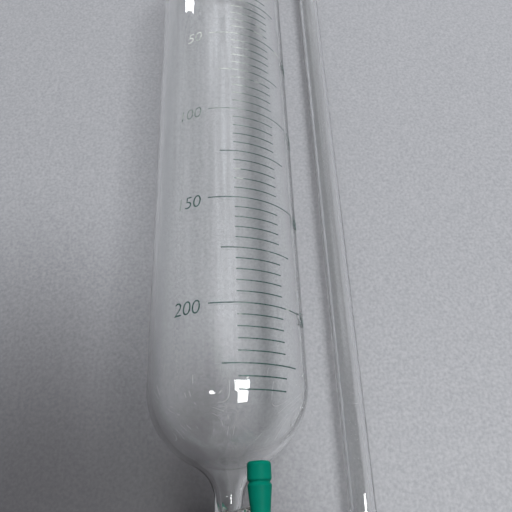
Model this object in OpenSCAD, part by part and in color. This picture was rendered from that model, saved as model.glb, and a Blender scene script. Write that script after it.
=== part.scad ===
// Pressure-equalising dropping funnel of 250 ml, with a printed scale, a stopcock
// with a fluoropolymer plug, and a 24/29 ground joint at each end.
// Millimetres, +Z up. The origin is on the funnel's axis, at the wide end of the
// lower ground cone. The scale and the stopcock's handle face -Y, and the side arm
// runs up the +X side.

/* [Reservoir] */
// Outer diameter of the cylinder
body_d = 47; // [42:0.5:56]
// Wall of the reservoir, stem and neck
body_wall = 1.5; // [1.2:0.1:2]
// Volume between the zero mark and the stopcock, in millilitres
capacity_ml = 250; // [150:10:400]
// Height of plain cylinder above the zero mark
head_space = 25; // [6:1:40]
// Radius of the curve between the shoulder and the neck
shoulder_fillet_r = 6; // [3:0.5:10]

/* [Inlet stem] */
// Outer diameter of the stem under the reservoir
stem_d = 8; // [7:0.1:9.5]
// Radius of the flare between the reservoir's round bottom and the stem
flare_r = 10; // [6:0.5:14]
// Straight length of stem between the flare and the barrel
stem_len = 2.6; // [1:0.1:15]

/* [Scale] */
// Volume at the lowest mark, in millilitres
scale_last_ml = 235; // [150:5:235]
// Volume between neighbouring marks, in millilitres
minor_step_ml = 5; // [5:5:10]
// Volume between medium marks, in millilitres
medium_step_ml = 25; // [25:25:50]
// Volume between long marks, in millilitres
major_step_ml = 50; // [50:50:100]
// Arc of a short mark, in degrees
minor_arc = 35; // [20:1:50]
// Arc of a medium mark, in degrees
medium_arc = 55.5; // [30:0.5:65]
// Arc of a long mark, in degrees
major_arc = 73; // [40:1:90]
// Height of a printed line
mark_h = 0.35; // [0.2:0.05:0.6]
// Thickness of the fired enamel
enamel_t = 0.1; // [0.05:0.01:0.2]

/* [Ground joints] */
// Diameter of a joint at its wide end
joint_d = 24; // [22:0.5:29.2]
// Length of the ground surface
joint_len = 29; // [22:1:32]
// Change of a joint's diameter per length
joint_taper = 0.1; // [0.08:0.01:0.12]
// Wall of the upper socket at its rim
socket_wall = 2.2; // [1.8:0.1:3]
// Height over which the socket widens from the neck
socket_flare_h = 4; // [3:0.5:8]
// Smooth bore between the neck and the ground surface
socket_seat_h = 2; // [1:0.5:4]
// Wall of the lower cone
cone_wall = 1.5; // [1.2:0.1:1.8]
// Bevel on the rims of the joints
rim_bevel = 0.6; // [0.2:0.1:0.7]

/* [Jacket] */
// Outer diameter of the vapour jacket above the lower cone
jacket_d = 25; // [24.5:0.5:30]
// Height of the step between the ground cone and the jacket
jacket_step_h = 3; // [2:0.5:6]
// Height of the jacket's straight wall
jacket_len = 24; // [18:1:50]
// Wall of the jacket
jacket_wall = 1.5; // [1.2:0.1:2]
// Radius of the ring seal where the jacket closes on the drip tube
seal_r = 4; // [3:0.5:6]

/* [Drip tube] */
// Outer diameter of the drip tube
drip_d = 7.5; // [6.5:0.1:8.5]
// Wall of the drip tube
drip_wall = 1.5; // [1:0.1:1.7]
// Length of drip tube in sight between the ring seal and the barrel
outlet_len = 10; // [4:1:25]
// Length of drip tube below the lower cone
drip_below = 15; // [6:1:40]
// Slant of the cut end, in degrees
drip_cut = 45; // [20:5:55]

/* [Side arm] */
// Outer diameter of the side arm
arm_d = 8.5; // [7:0.1:10]
// Wall of the side arm
arm_wall = 1.5; // [1:0.1:1.8]
// Distance between the side arm's axis and the funnel's axis
arm_offset = 44; // [40:1:60]
// Bend radius of the side arm, on its axis
bend_r = 18; // [13:1:20]
// Plain wall left on each side of the side arm where it joins
arm_margin = 2.75; // [1:0.25:6]

/* [Stopcock barrel] */
// Diameter of the ground bore at the front face
bore_d = 12.5; // [11.5:0.1:14]
// Change of the bore's diameter per length
bore_taper = 0.2; // [0.16:0.01:0.22]
// Length of barrel in front of the funnel's axis
barrel_front = 14; // [12:0.5:18]
// Length of barrel behind the funnel's axis
barrel_rear = 13; // [11:0.5:15]
// Wall of the barrel
barrel_wall = 1.6; // [1.2:0.1:2.5]
// Diameter of the cross bore that the liquid runs through
port_d = 4; // [1.5:0.1:4.4]

/* [Plug] */
// Running clearance between the plug and its barrel, on the radius
plug_clearance = 0.05; // [0.02:0.01:0.1]
// Length of plug in front of the barrel
plug_proud = 1; // [0.5:0.1:3]
// Length by which the plug's cone stops short of the barrel's rear face
plug_short = 0.5; // [0.3:0.1:2]
// Width across the square tang inside the handle
tang_w = 7; // [5:0.1:7.5]
// Length of the tang
tang_len = 4.4; // [3:0.1:6]
// Diameter of the threaded tail
tail_d = 6; // [4.5:0.1:6.2]
// Width from the tail's axis to its keying flat
tail_flat = 2.5; // [1.9:0.1:2.8]
// Length of tail behind the nut
tail_proud = 1.4; // [0.5:0.1:4]

/* [Handle] */
// Diameter of the hub
hub_d = 12.8; // [11.5:0.1:14]
// Thickness of the hub
hub_t = 6.2; // [5:0.1:9]
// Bevel on the hub's edges
hub_bevel = 0.8; // [0.3:0.1:1.5]
// Length across both wings
wing_span = 36; // [28:1:50]
// Widest diameter of a wing
wing_d = 6.1; // [4.8:0.1:7]
// Diameter of a wing where it leaves the hub
wing_root_d = 4.9; // [3:0.1:5.6]
// Length of the knob at a wing's end
knob_len = 4.3; // [3:0.1:6]
// Width of the groove behind the knob
groove_w = 1.2; // [0.6:0.1:2]
// Depth of the groove behind the knob
groove_depth = 0.45; // [0.2:0.05:0.8]
// Bevel on a wing's end
knob_bevel = 0.9; // [0.3:0.1:1.4]
// Clearance of the tang in the hub, on each face
tang_clearance = 0.05; // [0.02:0.01:0.1]

/* [Tension nut] */
// Gap between flat faces that are tightened against each other
face_gap = 0.05; // [0.02:0.01:0.1]
// Clearance of the washer, ring and nut on the tail, on the radius
tail_clearance = 0.08; // [0.05:0.01:0.1]
// Diameter of the washer
washer_d = 10.4; // [9.5:0.1:12]
// Thickness of the washer
washer_t = 1.2; // [0.8:0.1:2]
// Thickness of the rubber ring
ring_t = 1.8; // [1.2:0.1:2]
// Diameter of the nut
nut_d = 12; // [11:0.1:14]
// Thickness of the nut
nut_t = 5; // [4:0.1:7]
// Number of grip flutes round the nut
flute_count = 12; // [6:1:18]
// Diameter of a grip flute
flute_d = 1.6; // [1:0.1:2]
// Bevel on the nut's edges
nut_bevel = 0.5; // [0.2:0.1:0.8]

/* [Hidden] */
$fn = 96;
over = 1;
far = 200;

body_r = body_d / 2;
stem_r = stem_d / 2;
drip_r = drip_d / 2;
arm_r = arm_d / 2;
jacket_r = jacket_d / 2;
tail_r = tail_d / 2;
wing_r = wing_d / 2;

// Ground joints, from the wide end to the narrow end
joint_r = joint_d / 2;
joint_small_r = joint_r - joint_len * joint_taper / 2;
neck_r = joint_small_r + body_wall;
socket_r = joint_r + socket_wall;

// Stopcock bore, measured forward from the funnel's axis
function bore_r(y) = bore_d / 2 - (barrel_front - y) * bore_taper / 2;
barrel_mid_r = bore_r(0) + barrel_wall;

// Height of the flare or shoulder that joins a ball of radius R to a neck of radius r.
// The two curves cross by blend_lap, so that they meet in one clean edge
blend_lap = 0.01;
function flare_h(R, r, f) = sqrt(pow(R + f - blend_lap, 2) - pow(r + f, 2));

// Heights, from the lower cone up
jacket_top_z = jacket_step_h + jacket_len;
seal_z = jacket_top_z + flare_h(jacket_r, drip_r, seal_r);
plug_z = seal_z + outlet_len + barrel_mid_r;
bulb_z = plug_z + barrel_mid_r + stem_len + flare_h(body_r, stem_r, flare_r);

// Scale: a millilitre's height comes from the bore's area
bore_area = PI * pow(body_r - body_wall, 2);
ml_h = 1000 / bore_area;
bulb_ml = 2 / 3 * PI * pow(body_r - body_wall, 3) / 1000;
function mark_z(ml) = bulb_z + (capacity_ml - bulb_ml - ml) * ml_h;
function skin_r(z) = z >= bulb_z ? body_r : sqrt(pow(body_r, 2) - pow(bulb_z - z, 2));
function mark_arc(ml) =
    ml > 0 && ml % major_step_ml == 0 ? major_arc :
    ml > 0 && ml % medium_step_ml == 0 ? medium_arc : minor_arc;
print_gap = 0.02;

shoulder_z = mark_z(0) + head_space;
neck_z = shoulder_z + flare_h(body_r, neck_r, shoulder_fillet_r);
neck_top_z = neck_z + arm_d + 2 * arm_margin;
rim_z = neck_top_z + socket_seat_h + joint_len;

// Side arm
arm_low_z = jacket_top_z - arm_margin - arm_r;
arm_high_z = neck_z + arm_margin + arm_r;
bend_x = arm_offset - bend_r;

// Stack behind the barrel, measured back from the funnel's axis
washer_y = barrel_rear + face_gap;
ring_y = washer_y + washer_t;
nut_y = ring_y + ring_t + face_gap;
tail_end_y = nut_y + nut_t + tail_proud;
ring_mid_r = tail_r + tail_clearance + ring_t / 2;

// Handle, measured forward from the funnel's axis
hub_y = barrel_front + plug_proud;
wing_y = hub_y + hub_t / 2;
wing_len = wing_span / 2;

glass = [0.80, 0.88, 0.90, 0.45];
ground = [0.90, 0.92, 0.92, 0.80];
green = [0.01, 0.45, 0.37];
white = [0.93, 0.92, 0.88];
black = [0.10, 0.10, 0.10];

// Half section of a ball's upper half that draws in to a neck, with a straight length of neck
module drawn_neck(R, r, f, straight) {
    top = flare_h(R, r, f);
    intersection() {
        circle(R);
        square([R, min(R, top)]);
    }
    difference() {
        polygon([[0, 0], [r + f, top], [0, top]]);
        translate([r + f, top]) circle(f);
    }
    if (straight > 0) translate([0, top]) square([r, straight]);
}

// Half section of the reservoir, a wall's thickness inside its skin
module reservoir_section(inset, ends) {
    R = body_r - inset;
    translate([0, bulb_z]) mirror([0, 1])
        drawn_neck(R, stem_r - inset, flare_r + inset, stem_len + barrel_mid_r);
    translate([0, bulb_z]) square([R, shoulder_z - bulb_z]);
    translate([0, shoulder_z])
        drawn_neck(R, neck_r - inset, shoulder_fillet_r + inset, ends);
}

// Half section of the jacket, a wall's thickness inside its skin
module jacket_section(inset, ends) {
    R = jacket_r - inset;
    translate([0, jacket_step_h - ends]) square([R, jacket_len + ends]);
    translate([0, jacket_top_z])
        drawn_neck(R, drip_r - inset, seal_r + inset, 0);
}

// The stopcock's own axis: local z runs forward to the handle, local y runs up
module on_plug_axis() {
    translate([0, 0, plug_z]) rotate([90, 0, 0]) children();
}

// Tapered rod on the stopcock's axis, grown by a wall or shrunk by a clearance
module bore_cone(from, to, grow) {
    translate([0, 0, from])
        cylinder(h = to - from, r1 = bore_r(from) + grow, r2 = bore_r(to) + grow);
}

module barrel_skin() {
    on_plug_axis() bore_cone(-barrel_rear, barrel_front, barrel_wall);
}

// Quarter bend and level run of the side arm, from the bend's straight end to the axis
module arm_elbow(r) {
    translate([bend_x, 0, 0]) rotate([90, 0, 0]) rotate_extrude(angle = 90)
        translate([bend_r, 0]) circle(r);
    translate([0, 0, bend_r]) rotate([0, 90, 0]) cylinder(h = bend_x, r = r);
}

// Bore of the side arm through the wall that it joins
module arm_hole(z) {
    translate([0, 0, z]) rotate([0, 90, 0]) cylinder(h = bend_x, r = arm_r - arm_wall);
}

module arm_end(wall_r) {
    difference() {
        arm_elbow(arm_r);
        arm_elbow(arm_r - arm_wall);
        translate([0, 0, -far / 2]) cylinder(h = far, r = wall_r);
    }
}

// Cylinder with bevelled edges, from z = 0 up
module bevelled_disc(d, h, bevel) {
    rotate_extrude() polygon([
        [0, 0], [d / 2 - bevel, 0], [d / 2, bevel],
        [d / 2, h - bevel], [d / 2 - bevel, h], [0, h]
    ]);
}

// Tail's round section with its keying flat, grown by a clearance
module tail_section(grow) {
    intersection() {
        circle(tail_r + grow);
        translate([-tail_d, -tail_d]) square([2 * tail_d, tail_d + tail_flat + grow]);
    }
}

module reservoir() {
    color(glass) difference() {
        rotate_extrude() difference() {
            reservoir_section(0, 0);
            reservoir_section(body_wall, over);
        }
        barrel_skin();
    }
}

module scale_marks() {
    color(green) for (ml = [0 : minor_step_ml : scale_last_ml]) {
        arc = mark_arc(ml);
        r = skin_r(mark_z(ml) + mark_h / 2) + print_gap;
        translate([0, 0, mark_z(ml) - mark_h / 2]) rotate([0, 0, -90 - arc / 2])
            rotate_extrude(angle = arc) translate([r, 0]) square([enamel_t, mark_h]);
    }
}

module neck_socket() {
    color(glass) difference() {
        rotate_extrude() polygon([
            [joint_small_r, neck_z], [neck_r, neck_z], [neck_r, neck_top_z],
            [socket_r, neck_top_z + socket_flare_h], [socket_r, rim_z - rim_bevel],
            [socket_r - rim_bevel, rim_z], [joint_r, rim_z], [joint_small_r, rim_z - joint_len]
        ]);
        arm_hole(arm_high_z);
    }
}

module stopcock_barrel() {
    color(glass) difference() {
        barrel_skin();
        on_plug_axis() {
            bore_cone(-barrel_rear - over, barrel_front + over, 0);
            rotate([90, 0, 0]) cylinder(h = far, d = port_d, center = true);
        }
    }
}

module drip_tube() {
    tip_z = -joint_len - drip_below;
    color(glass) difference() {
        translate([0, 0, tip_z]) cylinder(h = plug_z - tip_z, r = drip_r);
        translate([0, 0, tip_z - over]) cylinder(h = far, r = drip_r - drip_wall);
        barrel_skin();
        translate([-drip_r, 0, tip_z]) rotate([0, -drip_cut, 0])
            translate([-far / 2, -far / 2, -far]) cube(far);
    }
}

module vapour_jacket() {
    color(glass) difference() {
        rotate_extrude() difference() {
            jacket_section(0, 0);
            jacket_section(jacket_wall, over);
        }
        cylinder(h = far, r = drip_r);
        arm_hole(arm_low_z);
    }
}

module lower_cone() {
    color(ground) rotate_extrude() polygon([
        [joint_small_r - cone_wall, -joint_len], [joint_small_r - rim_bevel, -joint_len],
        [joint_small_r + rim_bevel * joint_taper / 2, rim_bevel - joint_len], [joint_r, 0],
        [jacket_r, jacket_step_h], [jacket_r - jacket_wall, jacket_step_h], [joint_r - cone_wall, 0]
    ]);
}

module side_arm_tube() {
    z0 = arm_low_z + bend_r;
    color(glass) translate([arm_offset, 0, z0]) difference() {
        cylinder(h = arm_high_z - bend_r - z0, r = arm_r);
        translate([0, 0, -over]) cylinder(h = far * 4, r = arm_r - arm_wall);
    }
}

module side_arm_upper_bend() {
    color(glass) translate([0, 0, arm_high_z - bend_r]) arm_end(neck_r);
}

module side_arm_lower_bend() {
    color(glass) translate([0, 0, arm_low_z + bend_r]) mirror([0, 0, 1]) arm_end(jacket_r);
}

module plug() {
    rear = barrel_rear - plug_short;
    color(white) on_plug_axis() difference() {
        union() {
            bore_cone(-rear, hub_y, -plug_clearance);
            translate([-tang_w / 2, -tang_w / 2, hub_y]) cube([tang_w, tang_w, tang_len]);
            translate([0, 0, -tail_end_y]) linear_extrude(tail_end_y - rear) tail_section(0);
        }
        rotate([90, 0, 0]) cylinder(h = far, d = port_d, center = true);
    }
}

// One wing turned about its own axis, from the plug's axis out to its end
module wing() {
    knob_z = wing_len - knob_len;
    rotate([-90, 0, 0]) rotate_extrude() polygon([
        [0, 0], [wing_root_d / 2, 0], [wing_root_d / 2, hub_d / 2], [wing_r, knob_z - groove_w],
        [wing_r - groove_depth, knob_z - groove_w / 2], [wing_r, knob_z],
        [wing_r, wing_len - knob_bevel], [wing_r - knob_bevel, wing_len], [0, wing_len]
    ]);
}

module handle() {
    socket_w = tang_w + 2 * tang_clearance;
    color(green) on_plug_axis() difference() {
        union() {
            translate([0, 0, hub_y]) bevelled_disc(hub_d, hub_t, hub_bevel);
            for (turn = [0, 180]) translate([0, 0, wing_y]) rotate([0, 0, turn]) wing();
        }
        translate([-socket_w / 2, -socket_w / 2, hub_y - over])
            cube([socket_w, socket_w, tang_len + over + tang_clearance]);
    }
}

module tail_washer() {
    color(white) on_plug_axis() translate([0, 0, -washer_y - washer_t]) linear_extrude(washer_t)
        difference() {
            circle(d = washer_d);
            tail_section(tail_clearance);
        }
}

module tension_ring() {
    color(black) on_plug_axis() translate([0, 0, -ring_y - ring_t / 2]) rotate_extrude()
        translate([ring_mid_r, 0]) circle(ring_t / 2);
}

module tension_nut() {
    color(green) on_plug_axis() translate([0, 0, -nut_y - nut_t]) difference() {
        bevelled_disc(nut_d, nut_t, nut_bevel);
        translate([0, 0, -over]) cylinder(h = nut_t + 2 * over, r = tail_r + tail_clearance);
        for (i = [0 : flute_count - 1]) rotate([0, 0, i * 360 / flute_count])
            translate([nut_d / 2 + flute_d / 4, 0, -over]) cylinder(h = nut_t + 2 * over, d = flute_d);
    }
}

reservoir();
scale_marks();
neck_socket();
stopcock_barrel();
drip_tube();
vapour_jacket();
lower_cone();
side_arm_tube();
side_arm_upper_bend();
side_arm_lower_bend();
plug();
handle();
tail_washer();
tension_ring();
tension_nut();
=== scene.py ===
import math

import bmesh
import bpy
from mathutils import Matrix, Vector


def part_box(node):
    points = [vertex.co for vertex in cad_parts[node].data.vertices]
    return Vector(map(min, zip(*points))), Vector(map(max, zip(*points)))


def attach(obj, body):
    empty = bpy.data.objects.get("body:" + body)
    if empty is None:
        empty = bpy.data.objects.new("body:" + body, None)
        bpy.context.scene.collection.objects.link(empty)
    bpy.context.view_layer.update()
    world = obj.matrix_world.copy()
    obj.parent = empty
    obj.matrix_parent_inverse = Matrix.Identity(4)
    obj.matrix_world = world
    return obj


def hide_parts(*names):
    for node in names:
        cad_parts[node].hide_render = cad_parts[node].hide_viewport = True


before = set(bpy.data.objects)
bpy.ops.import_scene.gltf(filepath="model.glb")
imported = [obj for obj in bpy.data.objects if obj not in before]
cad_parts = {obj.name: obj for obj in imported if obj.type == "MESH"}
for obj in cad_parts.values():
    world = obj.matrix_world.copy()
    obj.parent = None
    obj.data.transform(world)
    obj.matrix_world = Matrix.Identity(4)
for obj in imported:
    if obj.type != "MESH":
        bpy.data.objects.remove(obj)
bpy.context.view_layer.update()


# Worked glass body: reservoir, neck and upper socket, stopcock barrel, drip tube, vapour jacket,
# lower cone and side arm. It is borosilicate tube that a glassblower draws, blows and welds into
# one piece in a flame, so its walls run into each other, and its two tapers are then ground matt.
mm = 0.001
wall = 1.5 * mm
joint_r = 12 * mm
joint_taper = 0.1
joint_bevel = 0.7 * mm
socket_below = 2 * mm
socket_widening = 4 * mm
shoulder_blend_r = 6 * mm
stem_r = 4 * mm
stem_len = 2.6 * mm
stem_blend_r = 10 * mm
seal_blend_r = 4 * mm
seal_gap = 0.3 * mm
crotch_rise = 0.4 * mm
barrel_wall = 1.6 * mm
barrel_taper = 0.2
barrel_bead = 0.6 * mm
port_r = 2 * mm
port_step = 0.5 * mm
tube_gap = 1 * mm
weld_spread = 1.5 * mm
weld_rise = 5 * mm
weld_above = 2 * mm
tip_slant = math.radians(45)
turned_sides = 144

body_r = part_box("reservoir")[1].x
neck_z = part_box("reservoir")[1].z
socket_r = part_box("neck_socket")[1].x
rim_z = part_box("neck_socket")[1].z
barrel_low, barrel_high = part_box("stopcock_barrel")
plug_z = (barrel_low.z + barrel_high.z) / 2
barrel_front_r = (barrel_high.z - barrel_low.z) / 2
barrel_mid_r = barrel_front_r + barrel_low.y * barrel_taper / 2
drip_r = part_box("drip_tube")[1].x
tip_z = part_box("drip_tube")[0].z
jacket_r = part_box("vapour_jacket")[1].x
jacket_foot_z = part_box("vapour_jacket")[0].z
seal_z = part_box("vapour_jacket")[1].z
joint_len = -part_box("lower_cone")[0].z
arm_low, arm_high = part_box("side_arm_tube")
arm_r = (arm_high.x - arm_low.x) / 2
arm_x = (arm_high.x + arm_low.x) / 2
arm_upper_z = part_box("side_arm_upper_bend")[1].z - arm_r
arm_lower_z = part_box("side_arm_lower_bend")[0].z + arm_r
bend_r = arm_upper_z - arm_high.z
joint_small_r = joint_r - joint_len * joint_taper / 2
neck_r = joint_small_r + wall


def arc(centre_r, centre_z, radius, start, end, steps=12):
    """Points along an arc of a half section, as (distance from the axis, height), in degrees."""
    turns = [math.radians(start + (end - start) * i / steps) for i in range(steps + 1)]
    return [(centre_r + radius * math.cos(t), centre_z + radius * math.sin(t)) for t in turns]


def blend_height(ball_r, throat_r, blend_r):
    """Height between a ball's middle and the neck that it draws in to."""
    return math.sqrt((ball_r + blend_r) ** 2 - (throat_r + blend_r) ** 2)


def drawn_in(ball_z, ball_r, throat_r, blend_r, side):
    """Half section of a ball drawn in to a neck above it (side 1) or below it (side -1)."""
    height = blend_height(ball_r, throat_r, blend_r)
    lean = math.degrees(math.atan2(height, throat_r + blend_r))
    curve = arc(0, 0, ball_r, 0, lean, 24)
    curve += arc(throat_r + blend_r, height, blend_r, 180 + lean, 180)[1:]
    return [(r, ball_z + side * z) for r, z in curve]


def weld_flare(tube_r, z, side, steps=10):
    """Half section of a tube that flares into the barrel below it (side 1) or above it (-1)."""
    turns = [math.radians(90 * i / steps) for i in range(steps + 1)]
    return [
        (tube_r + weld_spread * (1 - math.cos(t)), z - side * weld_rise * math.sin(t))
        for t in turns
    ]


def eased(low, high, steps=8):
    """Half section of a smooth step between two points."""
    (low_r, low_z), (high_r, high_z) = low, high
    shares = [i / steps for i in range(steps + 1)]
    return [
        (low_r + (high_r - low_r) * (1 - math.cos(math.pi * s)) / 2, low_z + (high_z - low_z) * s)
        for s in shares
    ]


def turned(outline, closed=True):
    """Half section turned a full circle about Z. An open outline starts and ends on the axis."""
    bm = bmesh.new()
    points = [bm.verts.new((r, 0, z)) for r, z in outline]
    pairs = list(zip(points, points[1:])) + ([(points[-1], points[0])] if closed else [])
    lines = [bm.edges.new(pair) for pair in pairs]
    bmesh.ops.spin(
        bm, geom=points + lines, axis=(0, 0, 1), angle=2 * math.pi, steps=turned_sides,
        use_merge=True,
    )
    return bm


def turned_rod(low_z, low_r, high_z, high_r):
    """Plain rod about Z between two heights, which may taper."""
    return turned([(0, low_z), (low_r, low_z), (high_r, high_z), (0, high_z)], closed=False)


def on_plug_axis(bm):
    """Turns a bmesh from Z on to the stopcock's axis, with its top to the front."""
    bmesh.ops.rotate(bm, verts=bm.verts, matrix=Matrix.Rotation(math.pi / 2, 3, "X"))
    bmesh.ops.translate(bm, verts=bm.verts, vec=(0, 0, plug_z))
    return bm


def solid(name, bm):
    """Object made from a bmesh, with doubles merged and faces turned outwards."""
    bmesh.ops.remove_doubles(bm, verts=bm.verts, dist=1e-7)
    bmesh.ops.recalc_face_normals(bm, faces=bm.faces)
    mesh = bpy.data.meshes.new(name)
    bm.to_mesh(mesh)
    bm.free()
    piece = bpy.data.objects.new(name, mesh)
    bpy.context.collection.objects.link(piece)
    return piece


def applied(piece):
    """Makes what a piece's modifiers give its own mesh, with no material yet."""
    depsgraph = bpy.context.evaluated_depsgraph_get()
    shaped = bpy.data.meshes.new_from_object(piece.evaluated_get(depsgraph))
    shaped.materials.clear()
    piece.modifiers.clear()
    piece.data = shaped


def worked(base, tool, operation):
    """Welds a tool to a base, or cuts it away, and removes the tool."""
    step = base.modifiers.new("work", "BOOLEAN")
    step.object = tool
    step.operation = operation
    step.solver = "MANIFOLD"
    applied(base)
    bpy.data.objects.remove(tool)


def shaded(piece, crease):
    """Smooth shading, with edges sharper than the crease angle kept."""
    piece.data.shade_smooth()
    piece.data.set_sharp_from_angle(angle=math.radians(crease))


bulb_z = plug_z + barrel_mid_r + stem_len + blend_height(body_r, stem_r, stem_blend_r)
shoulder_z = neck_z - blend_height(body_r, neck_r, shoulder_blend_r)
socket_foot_z = rim_z - joint_len - socket_below
socket_full_z = socket_foot_z + socket_widening
stem_weld_z = plug_z + barrel_mid_r + weld_above
vessel_foot_z = plug_z + tube_gap
vessel_outside = (
    [(stem_r + weld_spread, vessel_foot_z)]
    + weld_flare(stem_r, stem_weld_z, 1)[::-1]
    + drawn_in(bulb_z, body_r, stem_r, stem_blend_r, -1)[::-1]
    + drawn_in(shoulder_z, body_r, neck_r, shoulder_blend_r, 1)
    + eased((neck_r, socket_foot_z), (socket_r, socket_full_z))
    + arc(socket_r - joint_bevel, rim_z - joint_bevel, joint_bevel, 0, 90, 6)
)
vessel_inside = (
    arc(joint_r + joint_bevel, rim_z - joint_bevel, joint_bevel, 90, 180, 6)
    + [(joint_small_r, rim_z - joint_len)]
    + drawn_in(shoulder_z, body_r - wall, neck_r - wall, shoulder_blend_r + wall, 1)[::-1]
    + drawn_in(bulb_z, body_r - wall, stem_r - wall, stem_blend_r + wall, -1)
    + [(port_r, plug_z + barrel_mid_r), (port_r, vessel_foot_z)]
)
glass = solid("glass_body", turned(vessel_outside + vessel_inside))

jacket_top_z = seal_z - blend_height(jacket_r, drip_r, seal_blend_r)
outlet_top_z = plug_z - tube_gap
drip_weld_z = plug_z - barrel_mid_r - weld_above
jacket_inside = drawn_in(jacket_top_z, jacket_r - wall, drip_r - wall, seal_blend_r + wall, 1)
jacket_inside = [point for point in jacket_inside if point[0] > drip_r + seal_gap]
crotch_z = jacket_inside[-1][1] + crotch_rise
outlet_outside = (
    [(drip_r + weld_spread, outlet_top_z)]
    + weld_flare(drip_r, drip_weld_z, -1)[::-1]
    + drawn_in(jacket_top_z, jacket_r, drip_r, seal_blend_r, 1)[::-1]
    + eased((joint_r, 0), (jacket_r, jacket_foot_z))[::-1]
    + arc(joint_small_r - joint_bevel, joint_bevel - joint_len, joint_bevel, 0, -90, 6)
)
outlet_inside = (
    [(joint_small_r - wall, -joint_len)]
    + eased((joint_r - wall, 0), (jacket_r - wall, jacket_foot_z))
    + jacket_inside
    + [(drip_r, crotch_z), (drip_r, tip_z), (drip_r - wall, tip_z)]
    + [(drip_r - wall, plug_z - barrel_mid_r), (port_r, plug_z - barrel_mid_r + port_step)]
    + [(port_r, outlet_top_z)]
)
outlet = turned(outlet_outside + outlet_inside)
slant = bmesh.ops.bisect_plane(
    outlet,
    geom=outlet.verts[:] + outlet.edges[:] + outlet.faces[:],
    plane_co=(-drip_r, 0, tip_z),
    plane_no=(math.sin(tip_slant), 0, -math.cos(tip_slant)),
    clear_outer=True,
)["geom_cut"]
bmesh.ops.bridge_loops(outlet, edges=[e for e in slant if isinstance(e, bmesh.types.BMEdge)])
worked(glass, solid("outlet", outlet), "UNION")


def barrel_section(grow, over):
    """Back end, its radius, front end and its radius, of the barrel's bore grown and lengthened."""
    front_r = barrel_front_r - barrel_wall
    back, front = -barrel_high.y - over, -barrel_low.y + over
    back_r = front_r + (back + barrel_low.y) * barrel_taper / 2 + grow
    return back, back_r, front, front_r + over * barrel_taper / 2 + grow


back, back_r, front, front_r = barrel_section(barrel_wall, 0)
barrel = turned(
    [(0, back)]
    + arc(back_r - barrel_bead, back + barrel_bead, barrel_bead, -90, 0, 6)
    + arc(front_r - barrel_bead, front - barrel_bead, barrel_bead, 0, 90, 6)
    + [(0, front)],
    closed=False,
)
worked(glass, solid("barrel", on_plug_axis(barrel)), "UNION")
bore_over = 2 * mm
bore = turned_rod(*barrel_section(0, bore_over))
worked(glass, solid("bore", on_plug_axis(bore)), "DIFFERENCE")
port_over = 1 * mm
port_reach = barrel_mid_r + port_over
port = turned_rod(plug_z - port_reach, port_r, plug_z + port_reach, port_r)
worked(glass, solid("port", port), "DIFFERENCE")

arm_sides = 48
bend_steps = 16
arm_weld = 2 * mm
arm_inset = 3 * mm
flare_inset = 1.2 * mm
flare_stretch = 1.6
flare_curve = 1.5


def pushed(bm, rim, shift, width=1.0):
    """Extrudes a ring of edges by a shift, then scales the new ring about its middle."""
    grown = bmesh.ops.extrude_edge_only(bm, edges=rim)["geom"]
    points = [g for g in grown if isinstance(g, bmesh.types.BMVert)]
    bmesh.ops.translate(bm, verts=points, vec=shift)
    middle = sum((v.co for v in points), Vector()) / len(points)
    bmesh.ops.scale(bm, verts=points, vec=(width, width, width), space=Matrix.Translation(-middle))
    return [e for e in bm.edges if e.verts[0] in points and e.verts[1] in points]


def bent_rod(start_x, radius, stations):
    """Rod along the side arm's line. Stations are (x, radius) on its level ends, going outwards."""
    bend_x = arm_x - bend_r
    bm = bmesh.new()
    facing = Matrix.Translation((start_x, 0, arm_upper_z)) @ Matrix.Rotation(math.pi / 2, 4, "Y")
    bmesh.ops.create_circle(bm, segments=arm_sides, radius=stations[0][1], matrix=facing)
    first = rim = bm.edges[:]
    legs = list(zip(stations, stations[1:] + [(bend_x, radius)]))
    for (x, r), (next_x, next_r) in legs:
        rim = pushed(bm, rim, (next_x - x, 0, 0), next_r / r)
    for turn_z, drop in ((arm_high.z, arm_low.z - arm_high.z), (arm_low.z, None)):
        bend = bmesh.ops.spin(
            bm, geom=rim, cent=(bend_x, 0, turn_z), axis=(0, 1, 0), angle=math.pi / 2,
            steps=bend_steps,
        )["geom_last"]
        rim = [e for e in bend if isinstance(e, bmesh.types.BMEdge)]
        if drop:
            rim = pushed(bm, rim, (0, 0, drop))
    for (x, r), (next_x, next_r) in legs[::-1]:
        rim = pushed(bm, rim, (x - next_x, 0, 0), r / next_r)
    bmesh.ops.edgeloop_fill(bm, edges=first)
    bmesh.ops.edgeloop_fill(bm, edges=rim)
    return bm


arm_start_x = joint_small_r - arm_inset
arm_flare = [(arm_start_x, arm_r + arm_weld)] + [
    (
        neck_r - flare_inset + arm_weld * flare_stretch * math.sin(t),
        arm_r + arm_weld * (1 - math.sin(t)) ** flare_curve,
    )
    for t in [math.radians(10 * i) for i in range(10)]
]
arm = solid("side_arm", bent_rod(arm_start_x, arm_r, arm_flare))
mid_wall = wall / 2
for low_z, high_z, seat_r in (
    (arm_upper_z - bend_r, arm_upper_z + bend_r, neck_r - mid_wall),
    (arm_lower_z - bend_r, arm_lower_z + bend_r, jacket_r - mid_wall),
):
    seat = turned_rod(low_z, seat_r, high_z, seat_r)
    worked(arm, solid("seat", seat), "DIFFERENCE")
worked(glass, arm, "UNION")
arm_bore_r = arm_r - wall
arm_bore = bent_rod(arm_start_x, arm_bore_r, [(arm_start_x, arm_bore_r)])
worked(glass, solid("arm_bore", arm_bore), "DIFFERENCE")
shaded(glass, crease=42)


def finish_named(name):
    """New material with its nodes, links and main shader."""
    material = bpy.data.materials.new(name)
    material.use_nodes = True
    tree = material.node_tree
    return material, tree.nodes, tree.links, tree.nodes["Principled BSDF"]


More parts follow.
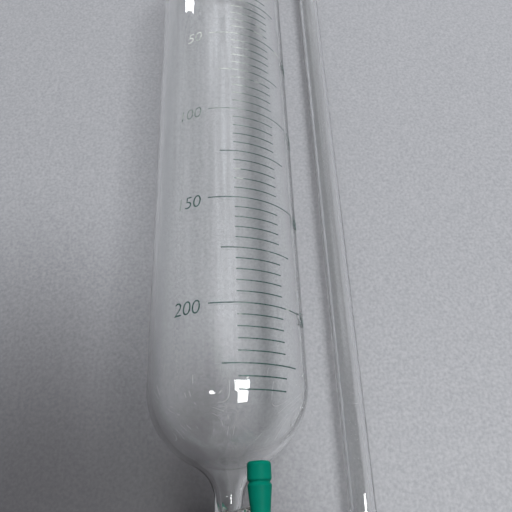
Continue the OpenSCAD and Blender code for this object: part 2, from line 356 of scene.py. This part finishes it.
def noise_on(nodes, links, scale, detail, stretch=(1, 1, 1)):
    """Noise in the piece's own space, stretched along its axes."""
    place = nodes.new("ShaderNodeTexCoord")
    spread = nodes.new("ShaderNodeMapping")
    spread.inputs["Scale"].default_value = stretch
    noise = nodes.new("ShaderNodeTexNoise")
    noise.inputs["Scale"].default_value = scale
    noise.inputs["Detail"].default_value = detail
    links.new(place.outputs["Object"], spread.inputs["Vector"])
    links.new(spread.outputs["Vector"], noise.inputs["Vector"])
    return noise.outputs["Fac"]


def ranged(nodes, links, value, low, high, to_low=0, to_high=1):
    """Value carried from one range to another, and held at its ends."""
    span = nodes.new("ShaderNodeMapRange")
    span.inputs["From Min"].default_value = low
    span.inputs["From Max"].default_value = high
    span.inputs["To Min"].default_value = to_low
    span.inputs["To Max"].default_value = to_high
    links.new(value, span.inputs["Value"])
    return span.outputs["Result"]


def fed(links, socket, value):
    """Gives a socket a plain value, or the output of another node."""
    if isinstance(value, bpy.types.NodeSocket):
        links.new(value, socket)
    else:
        socket.default_value = value


def combined(nodes, links, operation, one, other):
    """Two values put together by a product, a maximum or the like. Either may be a plain number."""
    both = nodes.new("ShaderNodeMath")
    both.operation = operation
    fed(links, both.inputs[0], one)
    fed(links, both.inputs[1], other)
    return both.outputs["Value"]


def product(nodes, links, one, other):
    """Two values multiplied."""
    return combined(nodes, links, "MULTIPLY", one, other)


def bumped(nodes, links, shader, value, depth):
    """Raises the surface by a value."""
    bump = nodes.new("ShaderNodeBump")
    bump.inputs["Strength"].default_value = 1
    bump.inputs["Distance"].default_value = depth
    links.new(value, bump.inputs["Height"])
    links.new(bump.outputs["Normal"], shader.inputs["Normal"])


def either_shader(nodes, links, share, one, other, output):
    """Shows one shader where the share is 0, and the other where it is 1."""
    both = nodes.new("ShaderNodeMixShader")
    links.new(share, both.inputs["Fac"])
    links.new(one, both.inputs[1])
    links.new(other, both.inputs[2])
    links.new(both.outputs["Shader"], nodes[output].inputs["Surface"])


def lets_light_through(nodes, links, shader, tint, rim_tint=0.2, rim_start=0.3):
    """Makes glass clear to rays from lamps and to those that light matt surfaces. It is darker
    where they meet it on edge, so its pale shadow has dark rims."""
    path = nodes.new("ShaderNodeLightPath")
    through = nodes.new("ShaderNodeBsdfTransparent")
    slant = nodes.new("ShaderNodeLayerWeight").outputs["Facing"]
    links.new(ranged(nodes, links, slant, rim_start, 1, tint, rim_tint), through.inputs["Color"])
    shadow, diffuse = path.outputs["Is Shadow Ray"], path.outputs["Is Diffuse Ray"]
    lighting = combined(nodes, links, "MAXIMUM", shadow, diffuse)
    clear = through.outputs["BSDF"]
    either_shader(nodes, links, lighting, shader.outputs["BSDF"], clear, "Material Output")


def own_axes(nodes, links):
    """X, Y and Z in the piece's own space."""
    place = nodes.new("ShaderNodeTexCoord")
    axes = nodes.new("ShaderNodeSeparateXYZ")
    links.new(place.outputs["Object"], axes.inputs["Vector"])
    return axes.outputs


def distance_from(nodes, links, point):
    """Distance from a point in the piece's own space."""
    place = nodes.new("ShaderNodeTexCoord")
    away = nodes.new("ShaderNodeVectorMath")
    away.operation = "DISTANCE"
    away.inputs[1].default_value = point
    links.new(place.outputs["Object"], away.inputs[0])
    return away.outputs["Value"]


scratch_top, scratch_foot = bulb_z + 4 * mm, bulb_z - 20 * mm
scratch_fade_top, scratch_fade_foot = bulb_z, bulb_z - 15 * mm
scratch_front = -6 * mm
hairline_count = 34
hairline_w = 0.08


def scratched(nodes, links):
    """Fine scratches in patches on the outside of the bulb, at the front."""
    _, y, z = own_axes(nodes, links)
    from_middle = distance_from(nodes, links, (0, 0, bulb_z))
    outside = ranged(nodes, links, from_middle, body_r - wall / 2, body_r - wall / 3)
    below = ranged(nodes, links, z, scratch_top, scratch_fade_top)
    above = ranged(nodes, links, z, scratch_foot, scratch_fade_foot)
    in_front = ranged(nodes, links, y, 0, scratch_front)
    sweep = product(nodes, links, noise_on(nodes, links, scale=63, detail=0), hairline_count)
    ridges = combined(nodes, links, "PINGPONG", sweep, 1)
    hairlines = ranged(nodes, links, ridges, 0, hairline_w, 1, 0)
    strokes = ranged(nodes, links, noise_on(nodes, links, scale=230, detail=1), 0.52, 0.57)
    scratches = product(nodes, links, hairlines, strokes)
    for place in (below, above, outside, in_front):
        scratches = product(nodes, links, scratches, place)
    return scratches


borosilicate_ior = 1.474
scuff_roughness = 0.12
scratch_roughness = 0.5
ripple_depth = 0.02 * mm


def clear_finish(name, light_tint):
    """Fire-polished glass with faint scuffs and scratches, and the long ripple of a drawn tube."""
    material, nodes, links, shader = finish_named(name)
    shader.inputs["Base Color"].default_value = (0.995, 1, 0.998, 1)
    shader.inputs["IOR"].default_value = borosilicate_ior
    shader.inputs["Transmission Weight"].default_value = 1
    scuffs = noise_on(nodes, links, scale=900, detail=6)
    dulled = ranged(nodes, links, scuffs, 0.62, 0.8, 0, scuff_roughness)
    scratches = ranged(nodes, links, scratched(nodes, links), 0, 1, 0, scratch_roughness)
    links.new(combined(nodes, links, "MAXIMUM", dulled, scratches), shader.inputs["Roughness"])
    drawn_ripple = noise_on(nodes, links, scale=60, detail=2, stretch=(1, 1, 0.08))
    bumped(nodes, links, shader, drawn_ripple, ripple_depth)
    lets_light_through(nodes, links, shader, light_tint)
    return material


clear_glass = clear_finish("clear_glass", light_tint=0.98)
tube_glass = clear_finish("tube_glass", light_tint=0.8)

ground_glass, nodes, links, shader = finish_named("ground_glass")
shader.inputs["Base Color"].default_value = (0.93, 0.95, 0.95, 1)
shader.inputs["IOR"].default_value = borosilicate_ior
shader.inputs["Transmission Weight"].default_value = 1
grit_depth = 0.01 * mm
grit = noise_on(nodes, links, scale=6000, detail=3)
links.new(ranged(nodes, links, grit, 0.3, 0.7, 0.42, 0.62), shader.inputs["Roughness"])
bumped(nodes, links, shader, grit, grit_depth)
lets_light_through(nodes, links, shader, tint=0.7)

for finish in (clear_glass, ground_glass, tube_glass):
    glass.data.materials.append(finish)
clear_skin, ground_skin, tube_skin = range(3)
ground_edge = 0.5 * mm
bore_skin = 0.1 * mm
for face in glass.data.polygons:
    x, y, z = face.center
    out = math.hypot(x, y)
    from_plug_axis = math.hypot(x, z - plug_z)
    bore_r = barrel_front_r - barrel_wall - (y - barrel_low.y) * barrel_taper / 2
    on_cone = -joint_len + ground_edge < z < 0 and out > joint_small_r - ground_edge
    in_socket = rim_z - joint_len < z < rim_z - joint_bevel and out < joint_r
    in_barrel = barrel_low.y < y < barrel_high.y and abs(from_plug_axis - bore_r) < bore_skin
    on_arm = out > body_r + wall
    if on_cone or in_socket or in_barrel:
        face.material_index = ground_skin
    else:
        face.material_index = tube_skin if on_arm else clear_skin

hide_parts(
    "reservoir", "neck_socket", "stopcock_barrel", "drip_tube", "vapour_jacket",
    "lower_cone", "side_arm_tube", "side_arm_upper_bend", "side_arm_lower_bend",
)
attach(glass, "funnel_glass")


# Printed scale: lines and numerals in green enamel, screened on the glass and fired into a thin
# glossy film. Use has rubbed it pale in spots, and towards the top left its colour is made paler,
# partly as wear and partly as a painted sheen of the light it catches there. The left numerals
# count what has run out, and the right ones what is left.
scale_total_ml = 250
scale_last_ml = 235
short_arc, medium_arc, long_arc = 35, 55.5, 73
arc_step = 2.5
line_h = 0.35 * mm
film_in, film_out = 0.04 * mm, 0.05 * mm
scale_low, scale_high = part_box("scale_marks")
zero_z = scale_high.z - line_h / 2
ml_h = (scale_high.z - scale_low.z - line_h) / scale_last_ml


def skin_r(z):
    """Outer radius of the reservoir at a height, on its straight wall or its round bottom."""
    return body_r if z > bulb_z else math.sqrt(body_r ** 2 - (bulb_z - z) ** 2)


marks = bmesh.new()
for ml in range(0, scale_last_ml + 1, 5):
    sweep = long_arc if ml and ml % 50 == 0 else medium_arc if ml and ml % 25 == 0 else short_arc
    z = zero_z - ml * ml_h
    bead = [(r * (film_in + film_out), h * line_h / 2) for r, h in arc(0, 0, 1, -90, 90, 8)]
    corners = [marks.verts.new((0, film_in - skin_r(z) - r, z + h)) for r, h in bead]
    end = marks.faces.new(corners)
    bmesh.ops.rotate(marks, verts=corners, matrix=Matrix.Rotation(math.radians(-sweep / 2), 3, "Z"))
    bmesh.ops.spin(
        marks, geom=[end] + end.edges[:] + corners, axis=(0, 0, 1), angle=math.radians(sweep),
        steps=round(sweep / arc_step),
    )
scale = solid("scale_print", marks)
shaded(scale, crease=40)

numeral_h = 4.1 * mm
numeral_share = 0.72
numeral_slant = 0.12
numeral_thinned = 0.014
numeral_spacing = 0.98
numeral_drop = 0.5 * mm
left_end = math.radians(-42)
right_start = math.radians(39)


def numerals(value, z, start, align):
    """Numerals bent round the reservoir at a height, from an angle off the scale's middle."""
    words = bpy.data.curves.new("numerals", "FONT")
    words.body = str(value)
    words.size = numeral_h / numeral_share
    words.align_x = align
    words.shear = numeral_slant
    words.offset = -numeral_thinned * words.size
    words.space_character = numeral_spacing
    words.extrude = (film_in + film_out) / 2
    holder = bpy.data.objects.new("numerals", words)
    bm = bmesh.new()
    flat = bpy.data.meshes.new_from_object(holder)
    bm.from_mesh(flat)
    bpy.data.objects.remove(holder)
    for v in bm.verts:
        turn = start + v.co.x / body_r
        out = body_r + v.co.z + (film_out - film_in) / 2
        v.co = (out * math.sin(turn), -out * math.cos(turn), z + v.co.y)
    return solid("numerals", bm)


printed = [scale]
for ml in range(50, 201, 50):
    z = zero_z - ml * ml_h - numeral_h / 2 - numeral_drop
    printed.append(numerals(ml, z, left_end, "RIGHT"))
    printed.append(numerals(scale_total_ml - ml, z, right_start, "LEFT"))
with bpy.context.temp_override(active_object=scale, selected_editable_objects=printed):
    bpy.ops.object.join()


def mixed(nodes, links, share, one, other):
    """Colour between two others by a share. Either may be plain or come from a node."""
    mix = nodes.new("ShaderNodeMix")
    mix.data_type = "RGBA"
    links.new(share, mix.inputs["Factor"])
    fed(links, mix.inputs["A"], one)
    fed(links, mix.inputs["B"], other)
    return mix.outputs["Result"]


enamel, nodes, links, shader = finish_named("scale_enamel")
enamel_thick, enamel_thin = (0.018, 0.066, 0.055, 1), (0.045, 0.125, 0.105, 1)
# Pale whitish enamel: the colour of worn spots, and also of the painted sheen at the top left.
enamel_worn_and_sheen = (0.74, 0.78, 0.73, 1)
thin_spots = noise_on(nodes, links, scale=1400, detail=4)
thinning = ranged(nodes, links, thin_spots, 0.4, 0.7)
fired = mixed(nodes, links, thinning, enamel_thick, enamel_thin)

# Painted sheen: the scale turns paler towards the top left, partly as worn enamel and partly
# standing in for the light its glossy film catches there.
worn_sheen_from_ml, worn_sheen_full_ml = 115, 75
worn_sheen_right, worn_sheen_left = 1 * mm, -5 * mm
across, _, upward = own_axes(nodes, links)
worn_sheen_from_z, worn_sheen_full_z = zero_z - worn_sheen_from_ml * ml_h, zero_z - worn_sheen_full_ml * ml_h
high_up = ranged(nodes, links, upward, worn_sheen_from_z, worn_sheen_full_z)
to_left = ranged(nodes, links, across, worn_sheen_right, worn_sheen_left)
worn_sheen_spots = ranged(nodes, links, noise_on(nodes, links, scale=500, detail=4), 0.35, 0.6, 0.45, 1)
worn_and_sheen_top = product(nodes, links, product(nodes, links, high_up, to_left), worn_sheen_spots)

line_breaks = noise_on(nodes, links, scale=130, detail=2)
broken_lines = ranged(nodes, links, line_breaks, 0.64, 0.68, 0, 0.6)
pale_digit_ml = 150
pale_digit_turn = math.radians(-58.5)
pale_digit = (
    body_r * math.sin(pale_digit_turn),
    -body_r * math.cos(pale_digit_turn),
    zero_z - pale_digit_ml * ml_h - numeral_drop,
)
from_digit = distance_from(nodes, links, pale_digit)
rubbed_digit = ranged(nodes, links, from_digit, 2.1 * mm, 2.5 * mm, 0.42, 0)
pale_share = combined(nodes, links, "MAXIMUM", broken_lines, rubbed_digit)
pale_share = combined(nodes, links, "MAXIMUM", pale_share, worn_and_sheen_top)
# The colour goes towards the pale enamel where the print is worn and where the sheen is painted.
links.new(mixed(nodes, links, pale_share, fired, enamel_worn_and_sheen), shader.inputs["Base Color"])
links.new(ranged(nodes, links, thin_spots, 0.3, 0.7, 0.18, 0.4), shader.inputs["Roughness"])
scale.data.materials.clear()
scale.data.materials.append(enamel)
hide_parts("scale_marks")
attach(scale, "funnel_glass")


# Stopcock plug: a tapered fluoropolymer rod turned on a lathe, with a cross bore for the liquid.
# A square tang at its front carries the handle, and its tail has a thread and a keying flat.
plug_clearance = 0.05 * mm
plug_low, plug_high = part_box("plug")
handle_low, handle_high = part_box("handle")
hub_back = -handle_high.y
tang_w = 7 * mm
tang_front = -plug_low.y
plug_back = -12.5 * mm
tail_r = 3 * mm
tail_flat = 2.5 * mm
tail_end = -plug_high.y
thread_pitch = 1.25 * mm
thread_depth = 0.4 * mm
thread_sunk = 0.2 * mm
thread_sides = 32
crest_start, crest_end, tooth_end = 0.42, 0.55, 0.97
core_r = tail_r - thread_depth
edge = 0.35 * mm
cross_reach = 15 * mm


def plug_r(forward):
    """Radius of the plug's taper at a distance in front of the funnel's axis."""
    front_r = barrel_front_r - barrel_wall - plug_clearance
    return front_r + (forward + barrel_low.y) * barrel_taper / 2


plug = solid("plug_body", on_plug_axis(turned(
    [(0, tail_end), (core_r - edge, tail_end), (core_r, tail_end + edge)]
    + [(core_r, plug_back), (plug_r(plug_back) - edge, plug_back)]
    + [(plug_r(plug_back), plug_back + edge), (plug_r(hub_back - edge), hub_back - edge)]
    + [(plug_r(hub_back) - edge, hub_back), (0, hub_back)],
    closed=False,
)))
thread = bmesh.new()
thread_start = tail_end + edge
thread_turns = int((plug_back - thread_start) / thread_pitch) - 1
tooth = [
    thread.verts.new((r, 0, thread_start + h))
    for r, h in (
        (core_r - thread_sunk, 0), (tail_r, thread_pitch * crest_start),
        (tail_r, thread_pitch * crest_end), (core_r - thread_sunk, thread_pitch * tooth_end),
    )
]
tooth_face = thread.faces.new(tooth)
bmesh.ops.spin(
    thread, geom=[tooth_face] + tooth_face.edges[:] + tooth, axis=(0, 0, 1),
    dvec=(0, 0, thread_pitch / thread_sides), angle=2 * math.pi * thread_turns,
    steps=thread_sides * thread_turns,
)
worked(plug, solid("thread", on_plug_axis(thread)), "UNION")
tang = bmesh.new()
tang_len = tang_front - hub_back + edge
bmesh.ops.create_cube(tang, size=1)
bmesh.ops.scale(tang, verts=tang.verts, vec=(tang_w, tang_w, tang_len))
bmesh.ops.translate(tang, verts=tang.verts, vec=(0, 0, tang_front - tang_len / 2))
bmesh.ops.bevel(
    tang, geom=tang.edges[:], offset=edge, affect="EDGES", segments=2, profile=0.5, material=-1
)
worked(plug, solid("tang", on_plug_axis(tang)), "UNION")
key_cut = bmesh.new()
half_cut = 10 * mm
bmesh.ops.create_cube(key_cut, size=2 * half_cut)
bmesh.ops.translate(
    key_cut, verts=key_cut.verts, vec=(0, tail_flat + half_cut, plug_back - half_cut)
)
worked(plug, solid("key_cut", on_plug_axis(key_cut)), "DIFFERENCE")
cross_bore = turned_rod(plug_z - cross_reach, port_r, plug_z + cross_reach, port_r)
worked(plug, solid("cross_bore", cross_bore), "DIFFERENCE")
shaded(plug, crease=35)

fluoropolymer, nodes, links, shader = finish_named("white_fluoropolymer")
cream, waxy_white = (0.80, 0.77, 0.69, 1), (0.88, 0.86, 0.80, 1)
waxy = noise_on(nodes, links, scale=350, detail=5)
clouded = mixed(nodes, links, ranged(nodes, links, waxy, 0.35, 0.65), cream, waxy_white)
links.new(clouded, shader.inputs["Base Color"])
links.new(ranged(nodes, links, waxy, 0.3, 0.7, 0.32, 0.45), shader.inputs["Roughness"])
shader.inputs["Subsurface Weight"].default_value = 0.15
shader.inputs["Subsurface Radius"].default_value = (1 * mm, 1 * mm, 1 * mm)
tool_depth = 0.02 * mm
tool_marks = noise_on(nodes, links, scale=90, detail=2, stretch=(0.05, 60, 0.05))
bumped(nodes, links, shader, tool_marks, tool_depth)
plug.data.materials.append(fluoropolymer)
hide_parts("plug")
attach(plug, "stopcock_key")


# Handle: moulded green plastic, a round hub pressed on the plug's tang with two tapered wings,
# each ending in a grooved knob. The mould leaves its edges soft.
hub_front = -handle_low.y
wing_len = (handle_high.z - handle_low.z) / 2
wing_r = 3.05 * mm
wing_root_r = 2.45 * mm
knob_len = 4.3 * mm
knob_round = 1 * mm
groove_w = 1.2 * mm
groove_depth = 0.5 * mm
hub_r = handle_high.x
hub_round = 0.9 * mm
hub_t = hub_front - hub_back
dish_r = 4 * mm
dish_side = 0.8 * mm
dish_depth = 0.5 * mm
socket_clearance = 0.05 * mm
mould_voxel = 0.16 * mm

handle = solid("handle_body", on_plug_axis(turned(
    [(0, hub_back)]
    + arc(hub_r - hub_round, hub_back + hub_round, hub_round, -90, 0, 6)
    + arc(hub_r - hub_round, hub_front - hub_round, hub_round, 0, 90, 6)
    + eased((dish_r, hub_front - dish_depth), (dish_r + dish_side, hub_front))[::-1]
    + [(0, hub_front - dish_depth)],
    closed=False,
)))
knob_z = wing_len - knob_len
wing_outline = (
    [(0, 0), (wing_root_r, 0), (wing_root_r, hub_r), (wing_r, knob_z - groove_w)]
    + [(wing_r - groove_depth, knob_z - groove_w / 2), (wing_r, knob_z)]
    + arc(wing_r - knob_round, wing_len - knob_round, knob_round, 0, 90, 6)
    + [(0, wing_len)]
)
for side in (1, -1):
    wing = turned(wing_outline, closed=False)
    bmesh.ops.scale(wing, verts=wing.verts, vec=(1, 1, side))
    bmesh.ops.translate(wing, verts=wing.verts, vec=(0, -hub_back - hub_t / 2, plug_z))
    worked(handle, solid("wing", wing), "UNION")
socket_cut = bmesh.new()
socket_w = tang_w + 2 * socket_clearance
socket_deep = tang_front - hub_back + socket_clearance
bmesh.ops.create_cube(socket_cut, size=1)
bmesh.ops.scale(socket_cut, verts=socket_cut.verts, vec=(socket_w, socket_w, 2 * socket_deep))
bmesh.ops.translate(socket_cut, verts=socket_cut.verts, vec=(0, 0, hub_back))
worked(handle, solid("socket_cut", on_plug_axis(socket_cut)), "DIFFERENCE")
moulded = handle.modifiers.new("moulded", "REMESH")
moulded.mode = "VOXEL"
moulded.voxel_size = mould_voxel
softened = handle.modifiers.new("softened", "SMOOTH")
softened.factor = 0.5
softened.iterations = 4
applied(handle)
handle.data.shade_smooth()

green_plastic, nodes, links, shader = finish_named("green_plastic")
deep_green, fresh_green = (0.0005, 0.175, 0.118, 1), (0.001, 0.205, 0.140, 1)
mottle = noise_on(nodes, links, scale=260, detail=4)
dyed = mixed(nodes, links, ranged(nodes, links, mottle, 0.35, 0.65), deep_green, fresh_green)
links.new(dyed, shader.inputs["Base Color"])
links.new(ranged(nodes, links, mottle, 0.3, 0.7, 0.42, 0.55), shader.inputs["Roughness"])
shader.inputs["Specular IOR Level"].default_value = 0.03
grain_depth = 0.015 * mm
mould_grain = noise_on(nodes, links, scale=2500, detail=2)
bumped(nodes, links, shader, mould_grain, grain_depth)
handle.data.materials.append(green_plastic)
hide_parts("handle")
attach(handle, "stopcock_key")


# Tension stack behind the barrel: a keyed white washer, a black rubber ring, and a fluted green
# nut on the plug's thread, which draws the taper into its bore.
washer_low, washer_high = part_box("tail_washer")
ring_low, ring_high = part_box("tension_ring")
nut_low, nut_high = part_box("tension_nut")
washer_sides, ring_sides, nut_sides = 96, 24, 288
tail_clearance = 0.08 * mm
stack_edge = 0.25 * mm
sharp_turn = math.radians(60)
flute_count = 12
flute_depth = 0.5 * mm


def ringed_plate(outside, inside, back, front, bevel, sides):
    """Flat ring between two outlines, given as radius by angle, with its edges bevelled."""
    bm = bmesh.new()
    for radius_at in (outside, inside):
        loop = bmesh.ops.create_circle(bm, segments=sides, radius=1)["verts"]
        for v in loop:
            v.co *= radius_at(math.atan2(v.co.y, v.co.x))
    bmesh.ops.bridge_loops(bm, edges=bm.edges[:])
    bmesh.ops.translate(bm, verts=bm.verts, vec=(0, 0, back))
    lifted = bmesh.ops.extrude_face_region(bm, geom=bm.faces[:], use_keep_orig=True)["geom"]
    lifted = [g for g in lifted if isinstance(g, bmesh.types.BMVert)]
    bmesh.ops.translate(bm, verts=lifted, vec=(0, 0, front - back))
    bmesh.ops.recalc_face_normals(bm, faces=bm.faces)
    rims = [e for e in bm.edges if e.is_manifold and e.calc_face_angle(0) > sharp_turn]
    rims = [e for e in rims if abs(e.verts[0].co.z - e.verts[1].co.z) < 1e-7]
    bmesh.ops.bevel(
        bm, geom=rims, offset=bevel, affect="EDGES", segments=3, profile=0.5, material=-1
    )
    return on_plug_axis(bm)


def keyed_hole(turn):
    """Radius of the washer's hole, which follows the tail's flat on its upper side."""
    hole_r = tail_r + tail_clearance
    return min(hole_r, (tail_flat + tail_clearance) / max(math.sin(turn), 1e-6))


def fluted(turn):
    """Radius of the nut's grip, dipped at each flute."""
    return nut_high.x - flute_depth * max(0, math.cos(flute_count * turn)) ** 2


washer = solid("washer", ringed_plate(
    lambda turn: washer_high.x, keyed_hole, -washer_high.y, -washer_low.y, stack_edge,
    washer_sides,
))
shaded(washer, crease=35)
washer.data.materials.append(fluoropolymer)
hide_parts("tail_washer")
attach(washer, "tail_stack")

cord_r = (ring_high.y - ring_low.y) / 2
ring_middle = -(ring_low.y + ring_high.y) / 2
ring = solid("rubber_ring", on_plug_axis(turned(
    arc(ring_high.x - cord_r, ring_middle, cord_r, 0, 360 - 360 / ring_sides, ring_sides - 1)
)))
shaded(ring, crease=180)
rubber, nodes, links, shader = finish_named("ring_rubber")
black, bloomed_black = (0.018, 0.018, 0.018, 1), (0.035, 0.035, 0.034, 1)
bloom = noise_on(nodes, links, scale=800, detail=5)
bloomed = mixed(nodes, links, ranged(nodes, links, bloom, 0.4, 0.7), black, bloomed_black)
links.new(bloomed, shader.inputs["Base Color"])
links.new(ranged(nodes, links, bloom, 0.3, 0.7, 0.5, 0.75), shader.inputs["Roughness"])
ring.data.materials.append(rubber)
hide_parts("tension_ring")
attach(ring, "tail_stack")

nut = solid("nut_body", ringed_plate(
    fluted, lambda turn: tail_r + tail_clearance, -nut_high.y, -nut_low.y, stack_edge,
    nut_sides,
))
shaded(nut, crease=50)
nut.data.materials.append(green_plastic)
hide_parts("tension_nut")
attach(nut, "nut")


# Stage: the funnel lies on a grey bench, on its reservoir and its side arm, and is looked down on.
# In its own upright frame that bench is an upright board behind it, seen from the front only.
roll = math.asin((body_r - arm_r) / arm_x)
mark_200_z = zero_z - 200 * ml_h
laid = Matrix((
    (math.cos(roll), 0, -math.sin(roll), 0),
    (-math.sin(roll), 0, -math.cos(roll), 0),
    (0, 1, 0, mark_200_z),
    (0, 0, 0, 1),
))
bench_w, bench_l = 1.8, 1.4
bench_bm = bmesh.new()
bmesh.ops.create_grid(bench_bm, x_segments=1, y_segments=1, size=1)
bmesh.ops.scale(bench_bm, verts=bench_bm.verts, vec=(bench_w / 2, bench_l / 2, 1))
bmesh.ops.translate(bench_bm, verts=bench_bm.verts, vec=(0, 0, -body_r))
bmesh.ops.transform(bench_bm, verts=bench_bm.verts, matrix=laid)
bench_mesh = bpy.data.meshes.new("bench")
bench_bm.to_mesh(bench_mesh)
bench_bm.free()
bench = bpy.data.objects.new("bench", bench_mesh)
bpy.context.collection.objects.link(bench)

bench_top, nodes, links, shader = finish_named("bench_top")
dark_speck, pale_speck = (0.338, 0.345, 0.370, 1), (0.462, 0.467, 0.490, 1)
shade_colour = (0.008, 0.004, 0.008, 1)
speck = noise_on(nodes, links, scale=1000, detail=4)
speckled = mixed(nodes, links, ranged(nodes, links, speck, 0.3, 0.7), dark_speck, pale_speck)


def shaded_bench(colour, middle, turn, size_x, size_y, reach, depth):
    """Bench colour with a soft oval shade round a point on it, as deep as given at its middle."""
    place = nodes.new("ShaderNodeTexCoord")
    oval = nodes.new("ShaderNodeMapping")
    oval.vector_type = "TEXTURE"
    oval.inputs["Location"].default_value = laid @ Vector((middle[0], middle[1], -body_r))
    oval_turn = Matrix.Rotation(-roll, 3, "Z") @ Matrix.Rotation(-turn, 3, "Y")
    oval.inputs["Rotation"].default_value = oval_turn.to_euler()
    oval.inputs["Scale"].default_value = (size_x, 1, size_y)
    fade = nodes.new("ShaderNodeTexGradient")
    fade.gradient_type = "SPHERICAL"
    links.new(place.outputs["Object"], oval.inputs["Vector"])
    links.new(oval.outputs["Vector"], fade.inputs["Vector"])
    share = ranged(nodes, links, fade.outputs["Fac"], 0, reach, 0, depth)
    share.node.interpolation_type = "SMOOTHSTEP"
    return mixed(nodes, links, share, colour, shade_colour)


far_shaded = shaded_bench(
    speckled, middle=(-32.5 * mm, -130 * mm), turn=math.radians(18.9),
    size_x=102 * mm, size_y=216 * mm, reach=0.6, depth=0.82,
)
both_shaded = shaded_bench(
    far_shaded, middle=(-8.3 * mm, -46 * mm), turn=0,
    size_x=23 * mm, size_y=60 * mm, reach=0.8, depth=0.61,
)
links.new(both_shaded, shader.inputs["Base Color"])
shader.inputs["Roughness"].default_value = 0.6
from_behind = nodes.new("ShaderNodeNewGeometry").outputs["Backfacing"]
unseen = nodes.new("ShaderNodeBsdfTransparent").outputs["BSDF"]
either_shader(nodes, links, from_behind, shader.outputs["BSDF"], unseen, "Material Output")
bench.data.materials.append(bench_top)


# Light: a soft lamp above the bench lights the matt surfaces, and four pale windows are seen only
# as reflections in the glass. The room is grey, with a lit stretch of ceiling and a dim front, and
# the camera sees plain grey behind the object, beside the glass and through it.
def soft_lamp(name, place, aim, size_x, size_y, power):
    """Rectangular area lamp at a place above the bench, turned to a point on it."""
    data = bpy.data.lights.new(name, "AREA")
    data.shape = "RECTANGLE"
    data.size, data.size_y, data.energy = size_x, size_y, power
    lamp = bpy.data.objects.new(name, data)
    bpy.context.collection.objects.link(lamp)
    at = laid @ Vector(place)
    to = laid @ Vector(aim)
    aimed = (to - at).to_track_quat("-Z", "Y").to_matrix().to_4x4()
    lamp.matrix_world = Matrix.Translation(at) @ aimed
    lamp.visible_transmission = False
    return lamp


ceiling = soft_lamp("ceiling", (0.38, 0.28, 0.95), (0, 0.03, 0), 0.45, 0.5, 8.0)
ceiling.visible_glossy = False
for name, place, aim, size_x, size_y, power in (
    ("window", (0.342, -0.14, 0.86), (0.342, -0.14, 0), 0.355, 0.22, 6.5),
    ("window_foot", (0.37, -0.395, 0.86), (0.37, -0.395, 0), 0.26, 0.29, 6.2),
    ("small_window", (-0.32, -0.27, 0.86), (-0.32, -0.27, 0), 0.13, 0.07, 0.8),
    ("far_window", (-0.795, 1.21, 0.42), (-0.011, 0.12, 0.02), 0.3, 0.09, 1.4),
):
    window = soft_lamp(name, place, aim, size_x, size_y, power)
    window.visible_diffuse = False

world = bpy.data.worlds.new("room")
bpy.context.scene.world = world
world.use_nodes = True
nodes, links = world.node_tree.nodes, world.node_tree.links
nodes["Background"].inputs["Color"].default_value = (0.94, 0.96, 1.0, 1)
sky = nodes.new("ShaderNodeTexCoord")


def facing(toward):
    """How far a direction in the room faces a direction given above the bench, from -1 to 1."""
    dot = nodes.new("ShaderNodeVectorMath")
    dot.operation = "DOT_PRODUCT"
    dot.inputs[1].default_value = (laid.to_3x3() @ Vector(toward)).normalized()
    links.new(sky.outputs["Generated"], dot.inputs[0])
    return dot.outputs["Value"]


leftward = facing((-0.93, 0.32, 0.18))
lit_right_edge = ranged(nodes, links, leftward, -0.12, 0.04)
lit_left_fade = ranged(nodes, links, leftward, 0.3, 0.85, 1, 0)
lit_near_edge = ranged(nodes, links, facing((0, 0.975, -0.22)), -0.05, 0.05)
lit_across = product(nodes, links, lit_right_edge, lit_left_fade)
lit_ceiling = product(nodes, links, lit_across, lit_near_edge)
unlit_level, lit_level = 0.42, 1.22
room_level = ranged(nodes, links, lit_ceiling, 0, 1, unlit_level, lit_level)
dim_level = 0.25
dim_front = ranged(nodes, links, facing((0, -1, 0)), -0.05, 0.7, 1, dim_level)
panels = noise_on(nodes, links, scale=2.2, detail=2, stretch=(3, 3, 1))
uneven = ranged(nodes, links, panels, 0.4, 0.6, 0.65, 1.35)
path = nodes.new("ShaderNodeLightPath")
matt_level = 0.75
on_matt = ranged(nodes, links, path.outputs["Is Diffuse Ray"], 0, 1, 1, matt_level)
room_sides = product(nodes, links, room_level, dim_front)
room_light = product(nodes, links, product(nodes, links, room_sides, uneven), on_matt)
links.new(room_light, nodes["Background"].inputs["Strength"])
unreflected = ranged(nodes, links, path.outputs["Glossy Depth"], 0, 1, 1, 0)
straight_through = product(nodes, links, path.outputs["Is Transmission Ray"], unreflected)
seen = combined(nodes, links, "MAXIMUM", path.outputs["Is Camera Ray"], straight_through)
plain = nodes.new("ShaderNodeBackground")
plain.inputs["Color"].default_value = (0.46, 0.47, 0.50, 1)
room = nodes["Background"].outputs["Background"]
either_shader(nodes, links, seen, room, plain.outputs["Background"], "World Output")


# Camera: above the lower end of the funnel, looking down on it and along it.
lens_mm = 37.78
eye = (4.549 * mm, -49.055 * mm, 183.312 * mm - body_r)
yaw, pitch, tilt = math.radians(-4.155), math.radians(24.657), math.radians(2.239)
camera_data = bpy.data.cameras.new("camera")
camera_data.lens = lens_mm
camera_data.sensor_width = 36
camera_data.clip_start = 0.005
camera = bpy.data.objects.new("camera", camera_data)
bpy.context.collection.objects.link(camera)
camera.matrix_world = (
    laid
    @ Matrix.Translation(eye)
    @ Matrix.Rotation(yaw, 4, "Z")
    @ Matrix.Rotation(pitch, 4, "X")
    @ Matrix.Rotation(tilt, 4, "Z")
)
bpy.context.scene.camera = camera
bpy.context.scene.view_settings.view_transform = "Standard"
